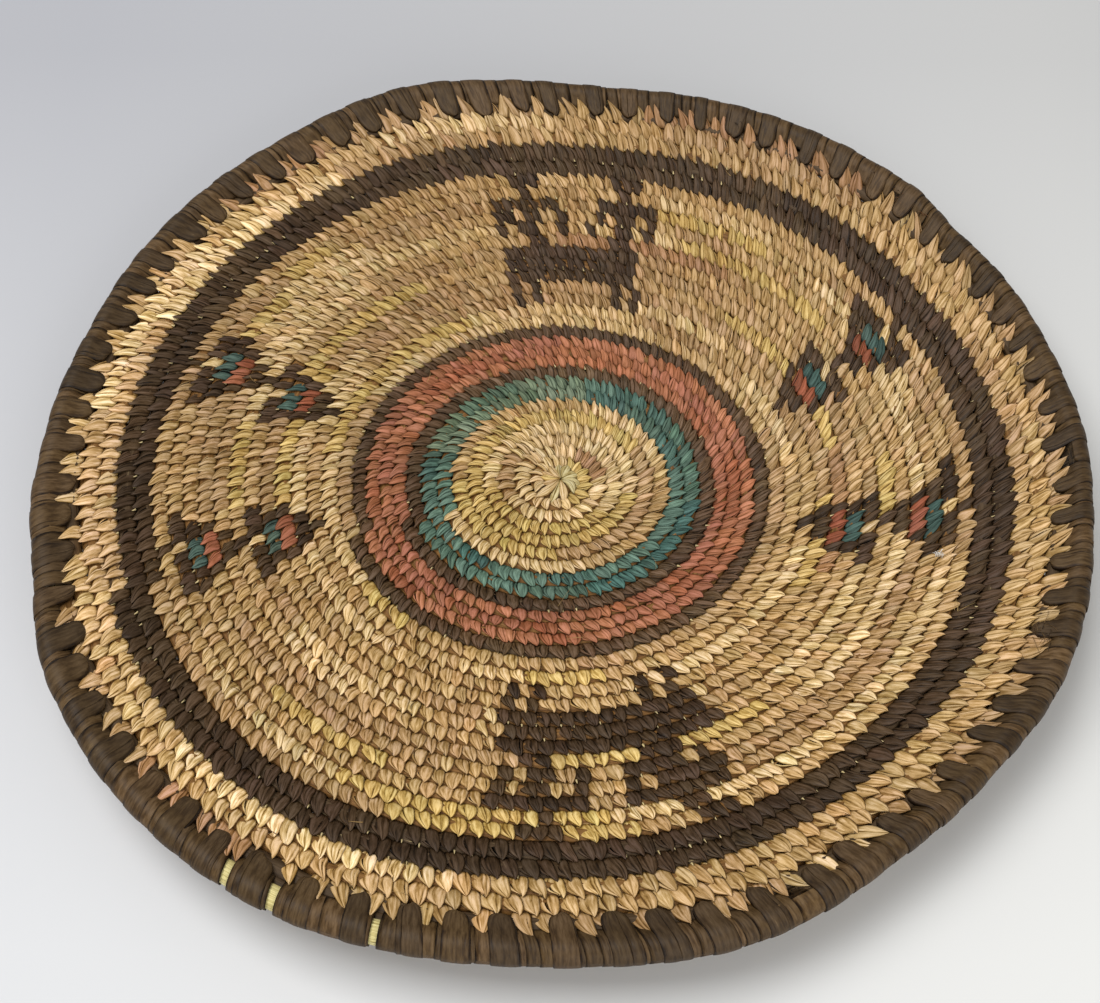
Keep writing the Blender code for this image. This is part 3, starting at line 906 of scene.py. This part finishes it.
def build_wraps():
    """Short wraps of the rim between its long stitches, each a closed band."""
    spans = wrap_spans()
    middles = spans.mean(1)
    widths = (spans[:, 1] - spans[:, 0]) * RIM_AROUND
    n = len(middles)
    lean = RIM_LEAN + np.clip(rng.normal(0, 0.06, n), -0.08, 0.08)
    lift = np.clip(rng.normal(0, 0.04, n), -0.08, 0.04)
    sections = []
    for section in WRAP_SECTION:
        side = WRAP_ACROSS[None] * column(widths) / 2 * WRAP_OVERLAP
        side = side - column(lean) * (1 - section[0]) * RIM_WIDTH / 2
        turn = np.clip(column(middles) - side / RIM_AROUND, RIM_START, RIM_END)
        rise = (0.08 * (1 - WRAP_ACROSS[None] ** 2) - 0.03 + column(lift) - 0.12 * WRAP_ACROSS[None]) * MM
        sections.append(rim_point(turn, section, rise))
    points = np.stack(sections, 1)
    rounds, wide = points.shape[1:3]
    quads = []
    for first in range(0, rounds * wide, wide):
        after = (first + wide) % (rounds * wide)
        quads += [(first + c, after + c, after + c + 1, first + c + 1) for c in range(wide - 1)]
        quads.append((first + wide - 1, after + wide - 1, after, first))
    sheet = strips(points, [quads], WRAP_ACROSS / 2 + 0.5, np.linspace(0, 4, rounds), rim_tones(n, 1.12))
    nodes = sorted(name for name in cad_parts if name.startswith("rim_wrapping"))
    add_piece("rim_wraps", [sheet], *RIM_LOOK, *nodes)


# Stations of a long stitch round the rim, from its inner lower side over the top
LONG_ROUND = WRAP_SECTION[13:] + WRAP_SECTION[:5]
# Stations from the rim's top inward over the border: share of the way to the tip, and share of the width
LONG_REACH = ((0.14, 1.0), (0.28, 1.0), (0.43, 1.0), (0.58, 0.99), (0.72, 0.95), (0.84, 0.84), (0.93, 0.62),
              (0.985, 0.34), (1.0, 0.12))
LONG_TIP = 14.2 * MM


def build_long_stitches():
    """The wide strips that come up over the rim and reach inward over the border."""
    n = LONG_STITCHES
    across = np.array([-1, -0.94, -0.6, -0.2, 0.2, 0.6, 0.94, 1])[None]
    tip = LONG_TIP + rng.normal(0, 0.7, n) * MM
    lean = RIM_LEAN + np.clip(rng.normal(0, 0.05, n), -0.08, 0.08)
    lift = np.clip(rng.normal(0.05, 0.07, n), 0, 0.18)
    blunt = rng.uniform(0.0, 0.2, n)
    lopsided = rng.normal(0, 0.16, n)
    crease = rng.integers(1, 7, n)
    dent = np.zeros((n, across.size))
    dent[np.arange(n), crease] = rng.uniform(0.03, 0.14, n)
    crown = 0.13 * (1 - across ** 2) - 0.04 * across - dent
    # The edges turn down, so that nothing shows beneath them
    edge = np.abs(across) > 0.97
    half_rim = column(rim_width(LONG_TURNS) / 2)
    stations = []
    for section in LONG_ROUND:
        inward = (1 - section[0]) * half_rim if section[1] > 0 else 0
        side = across * column(LONG_WIDTHS) / 2 - column(lean) * inward
        turn = np.clip(column(LONG_TURNS) - side / RIM_AROUND, RIM_START, RIM_END)
        stations.append(rim_point(turn, section, (crown + 0.2 - 0.14 * edge + column(lift)) * MM))
    start_out = column(rim_out(LONG_TURNS)) + LONG_ROUND[-1][0] * half_rim
    start_up = column(RIM_HEIGHT * rim_taper(LONG_TURNS) / 2)
    outer = column(rim_out(LONG_TURNS)) + half_rim
    tip_out = outer - column(tip)
    crest = CREST + 0.6 * MM
    for share, width_share in LONG_REACH:
        out = start_out + (tip_out - start_out) * share
        out = out + column(lopsided) * across * 2.2 * MM * share ** 4
        down = min(1, share / 0.6)
        smooth = down * down * (3 - 2 * down)
        up = start_up + (crest - start_up) * smooth
        fall = max(0, (share - 0.8) / 0.2)
        narrow = width_share + column(blunt) * (1 - width_share)
        side = across * column(LONG_WIDTHS) / 2 * narrow - column(lean) * (outer - out)
        turn = np.clip(column(LONG_TURNS) - side / RIM_AROUND, RIM_START - 0.01, RIM_END)
        rise = crown + 0.2 - 0.12 * smooth - (0.14 + 1.0 * smooth) * edge + column(lift) - 0.55 * fall ** 2
        stations.append(place(turn, out, up + rise * MM))
    points = np.stack(stations, 1)
    folds = np.full((n, 3), NO_FOLD)
    folds[:, 0] = across[0][crease] / 2 + 0.5
    places = np.clip(across[0] / 0.96, -1, 1) / 2 + 0.5
    sheet = leaves(points, places, np.linspace(0, 4, len(stations)), rim_tones(n, 0.86), folds)
    add_piece("rim_long_stitches", [sheet], *RIM_LOOK)


def build_rim_bundle():
    """The straw inside the rim, and a thin roll of grass, dark with painted shade, that closes the corner
    beside the border.
    """
    turns = RIM_START + np.linspace(0.002, 0.998, 360)
    turn = turns[:, None]
    along = (turns - RIM_START) * 60
    angle = around_tube(48)
    lobes = (0.5 * np.abs(np.sin(angle * 9 + turn * 9)) - 0.3) * MM
    out = rim_out(turn) + (rim_width(turn) / 2 - 0.9 * MM + lobes) * np.cos(angle)
    up = (RIM_HEIGHT * rim_taper(turn) / 2 - 0.9 * MM + lobes) * np.sin(angle)
    points = place(turn + 0 * angle, out, up)
    add_tube("rim_bundle", points, 18, along, srgb("d9cb8c"), STRAW_LOOK, "rim_foundation")
    # The corner roll takes the grass darkened as painted shade
    angle = around_tube(12)
    out = rim_out(turn) - rim_width(turn) / 2 - 0.1 * MM + 1.9 * MM * np.cos(angle)
    points = place(turn + 0 * angle, out, (0.2 + 1.5 * np.sin(angle)) * MM)
    add_tube("rim_corner_grass", points, 1, along, SHADE_PAINTED_GRASS, BUNDLE_LOOK)


build_wraps()
build_long_stitches()
build_rim_bundle()


# The star in the middle

STAR_CENTRE = np.array([1.5 * MM, -0.1 * MM])
STAR_ALONG = np.array([0, 0.14, 0.3, 0.48, 0.66, 0.82, 0.93, 1])
STAR_ACROSS = np.array([-1, -0.66, -0.33, 0, 0.33, 0.66, 1])
STAR_STRIPS = 12
STAR_WIDTHS = np.interp(STAR_ALONG, (0, 0.2, 0.45, 0.66, 0.82, 1), (0.16, 0.55, 0.95, 1.0, 0.72, 0.05))
STAR_RISES = np.interp(STAR_ALONG, (0, 0.25, 0.6, 0.85, 1), (0.25, 0.3, 0.12, -0.3, -0.75))


def star_leaves(count, top):
    """Long pointed strips that meet a little off the centre, over the start knot or under it."""
    centre = STAR_CENTRE * (1 if top else 0)
    points = np.zeros((count, len(STAR_ALONG), len(STAR_ACROSS), 3))
    for number in range(count):
        turn_share = (number + rng.normal(0, 0.13)) / count
        angle = START_ANGLE - 2 * math.pi * turn_share
        end = along_surface(1 + turn_share % 1) - CENTRE_PITCH / 2 + (1.8 + rng.normal(0, 0.4)) * MM
        tip = np.array([math.cos(angle), math.sin(angle)]) * end
        way = tip - centre
        length = math.hypot(*way)
        way = way / length
        side = np.array([-way[1], way[0]])
        start = rng.uniform(0, 0.9) * MM
        broad = rng.uniform(1.45, 2.0) * MM
        width = STAR_WIDTHS * broad
        bow = rng.normal(0.35, 0.3) * MM
        lift = rng.uniform(-0.3, 0.75)
        fold = int(rng.integers(2, 5))
        for a, v in enumerate(STAR_ALONG):
            rise = STAR_RISES[a] + lift * math.sin(math.pi * v)
            for c, u in enumerate(STAR_ACROSS):
                droop = 0.55 * abs(u) ** 2 + (0.3 if c == fold else 0) * math.sin(math.pi * min(1, v + 0.1))
                flat = way * (start + (length - start) * v)
                flat = flat + side * (u * width[a] + bow * math.sin(math.pi * v)) + centre
                over = CREST + MIDDLE + (rise - droop + 0.12 * u) * MM
                points[number, a, c] = (*flat, over if top else (0.35 - 0.3 * rise + 0.5 * droop) * MM)
    return points[:, :, ::-1] if top else points


def build_star():
    points = np.concatenate([star_leaves(STAR_STRIPS, True), star_leaves(STAR_STRIPS, False)])
    count = len(points)
    colours = np.array([CREAM, YELLOW, srgb("b9a878"), srgb("bfae7a"), TAN])
    tones = colours[rng.integers(0, 5, count)] * (1 + rng.normal(0, 0.07, (count, 1)))
    folds = np.full((count, 3), NO_FOLD)
    folds[:, 0] = rng.uniform(0.35, 0.65, count)
    sheet = leaves(points, STAR_ACROSS / 2 + 0.5, STAR_ALONG, tones, folds)
    add_piece("centre_star", [sheet], *LOOKS[NATURAL], "start_knot")


build_star()


# Straw that shows between the tips of dark stitches, loose fibres and tufts

GLINT_SHARE = 0.34
SINGLE_FIBRES = 26


def build_glints():
    """Small pale ends of straw in the notches between the tips of dark stitches."""
    chosen = (STRIPS == DARK) & (rng.random(COUNT) < GLINT_SHARE)
    dark = np.nonzero(chosen[:-1])[0]
    n = len(dark)
    across = np.array([-1, 0, 1])[None, None, :]
    along = np.array([0, 0.5, 1])[None, :, None]
    turn = PLACES[dark] + 0.5 * GAPS[dark] / AROUND[dark]
    middle = (0.5 + rng.normal(0, 0.03, n)) * pitch_at(turn)
    out = block(middle) + (along - 0.5) * block(rng.uniform(0.9, 1.6, n)) * MM
    width = block(rng.uniform(0.35, 0.6, n)) * MM * (1.1 - 0.9 * along)
    ccw = across * width + np.tan(block(lean_at(turn))) * out
    up = CREST + (-0.52 - 0.25 * np.abs(across) + block(rng.normal(0, 0.1, n)) + 0 * along) * MM
    points = place(block(turn) - ccw / block(round_row(turn)), out + 0 * across, up)
    tones = np.array([srgb("d2be8c")]) * (1 + rng.normal(0, 0.12, (n, 1)))
    sheet = leaves(points, (0, 0.5, 1), (0.4, 0.6, 0.8), tones)
    add_piece("straw_glints", [sheet], *STRAW_LOOK)


# Azimuth in degrees, radius in mm, number of fibres, their length and spread in mm, and their tone
TUFTS = ((38.2, 173.3, 7, 3.6, 0.7, "6b4a2c"), (41.5, 173.1, 6, 3.2, 0.6, "74502f"),
         (65.6, 169.7, 8, 2.4, 0.6, "2c2013"), (335.3, 173.0, 16, 5.0, 1.3, "2c1e10"),
         (335.3, 169.5, 9, 9.0, 1.8, "6b5230"), (344.4, 133.3, 22, 1.6, 0.45, "f2f1ee"),
         (335.9, 144.9, 3, 6.0, 1.0, "b99d66"), (23.4, 110.7, 3, 7.0, 1.2, "b08f58"))


def build_fibres():
    """Loose fibres as thin curved threads: the tufts, and a few single ones strewn about."""
    threads = []
    for azimuth, radius, count, length, spread, tone in TUFTS:
        threads += [(azimuth, radius, length, spread, tone)] * count
    for _ in range(SINGLE_FIBRES):
        radius = rng.uniform(20, 168)
        azimuth, length = rng.uniform(0, 360), rng.uniform(4, 9)
        threads.append((azimuth, radius, length, 0.2, "a98a58" if rng.random() < 0.6 else "5a4229"))
    stations = np.linspace(0, 1, 8)
    ring = np.linspace(0, 2 * math.pi, 5, endpoint=False)
    points, tones = [], []
    for azimuth, radius, length, spread, tone in threads:
        share = ((200 - azimuth) / 360) % 1
        turns = share + np.arange(RIM_END)
        turn = turns[np.argmin(np.abs(ring_radius(turns) - radius * MM))]
        out = radius * MM - ring_radius(turn) + rng.normal(0, spread) * MM
        ccw = rng.normal(0, spread) * MM
        heading = rng.uniform(0, 2 * math.pi)
        bow = rng.normal(0, 0.25)
        rise = rng.uniform(0.5, 1.3) * (1.5 if spread > 0.3 else 1)
        reach = length * rng.uniform(0.6, 1.2) * MM
        way = heading + bow * 4 * (stations - 0.5)
        path_ccw = ccw + sums(np.cos(way[:-1])) / len(way[:-1]) * reach
        path_out = out + sums(np.sin(way[:-1])) / len(way[:-1]) * reach
        height = CREST + (0.15 + rise * np.sin(math.pi * stations)) * MM
        thick = (rng.uniform(0.09, 0.15) * MM * (1.1 - 0.7 * stations))[:, None]
        here = turn - path_ccw / round_row(turn)
        out = path_out[:, None] + thick * np.cos(ring)
        points.append(place(here[:, None], out, height[:, None] + thick * np.sin(ring)))
        tones.append(srgb(tone))
    sheet = leaves(np.array(points), np.linspace(0.3, 0.7, 5), np.linspace(0.3, 1, 8), np.array(tones))
    add_piece("loose_fibres", [sheet], *STRAW_LOOK)


build_glints()
build_fibres()


# Floor, light and camera

FLOOR_HALF_WIDTH = 3.0


def build_stage():
    mesh = bpy.data.meshes.new("floor")
    size = FLOOR_HALF_WIDTH
    corners = [(-size, -size, 0), (size, -size, 0), (size, size, 0), (-size, size, 0)]
    mesh.from_pydata(corners, [], [(0, 1, 2, 3)])
    floor = add_object("floor", mesh)
    material, tree, shader = new_material("pale_paper")
    split = node(tree, "ShaderNodeSeparateXYZ")
    tree.links.new(node(tree, "ShaderNodeTexCoord").outputs["Object"], split.inputs[0])
    # The paper is painted darker toward the back and the left: painted shade where less light falls
    front, back = (blend(tree, split.outputs[0], -0.2, 0.2, srgb(left), srgb(right))
                   for left, right in (("d2d3d5", "e0e0dd"), ("afb0b5", "c6c6c5")))
    colour = blend(tree, split.outputs[1], -0.17, 0.22, front, back)
    tree.links.new(colour, shader.inputs["Base Color"])
    shader.inputs["Roughness"].default_value = 0.85
    shader.inputs["Specular IOR Level"].default_value = 0.1
    mesh.materials.append(material)


# Name, place, size and power of each lamp
LAMPS = (("overhead", (-0.5, 0.05, 1.38), 0.9, 16.3), ("front", (0.35, -1.15, 0.6), 0.8, 7.0))
WORLD_STRENGTH = 0.42


def build_light():
    world = bpy.data.worlds.new("studio")
    bpy.context.scene.world = world
    world.use_nodes = True
    background = world.node_tree.nodes["Background"]
    background.inputs[0].default_value = (1.0, 1.0, 1.0, 1)
    background.inputs[1].default_value = WORLD_STRENGTH
    for name, location, size, energy in LAMPS:
        data = bpy.data.lights.new(name, "AREA")
        data.size = size
        data.energy = energy
        lamp = add_object(name, data)
        lamp.location = location
        lamp.rotation_euler = (-Vector(location)).to_track_quat("-Z", "Y").to_euler()


# The camera solved from the photo: elevation and roll in degrees, focal length and picture width in pixels,
# and its distance and aim as shares of the tray's radius
TRAY_RADIUS = 178 * MM
DISTANCE_SHARE = 3.347
AIM_SHARES = (-0.012, -0.054)
VIEW_LIFT = 5.1 * MM
ELEVATION = 56
ROLL = 0.21
FOCAL_PIXELS = 1700
PICTURE_WIDTH = 1100


def build_camera():
    elevation = math.radians(ELEVATION)
    far = DISTANCE_SHARE * TRAY_RADIUS
    lift = Vector((0, 0, VIEW_LIFT))
    position = Vector((0, -far * math.cos(elevation), far * math.sin(elevation))) + lift
    target = Vector((AIM_SHARES[0] * TRAY_RADIUS, AIM_SHARES[1] * TRAY_RADIUS, 0)) + lift
    data = bpy.data.cameras.new("view")
    data.sensor_width = 36
    data.lens = FOCAL_PIXELS / PICTURE_WIDTH * data.sensor_width
    camera = add_object("view", data)
    aim = (target - position).to_track_quat("-Z", "Y").to_matrix().to_4x4()
    camera.matrix_world = Matrix.Translation(position) @ aim @ Matrix.Rotation(math.radians(ROLL), 4, "Z")
    bpy.context.scene.camera = camera


build_stage()
build_light()
build_camera()

bpy.context.scene.view_settings.view_transform = "Standard"
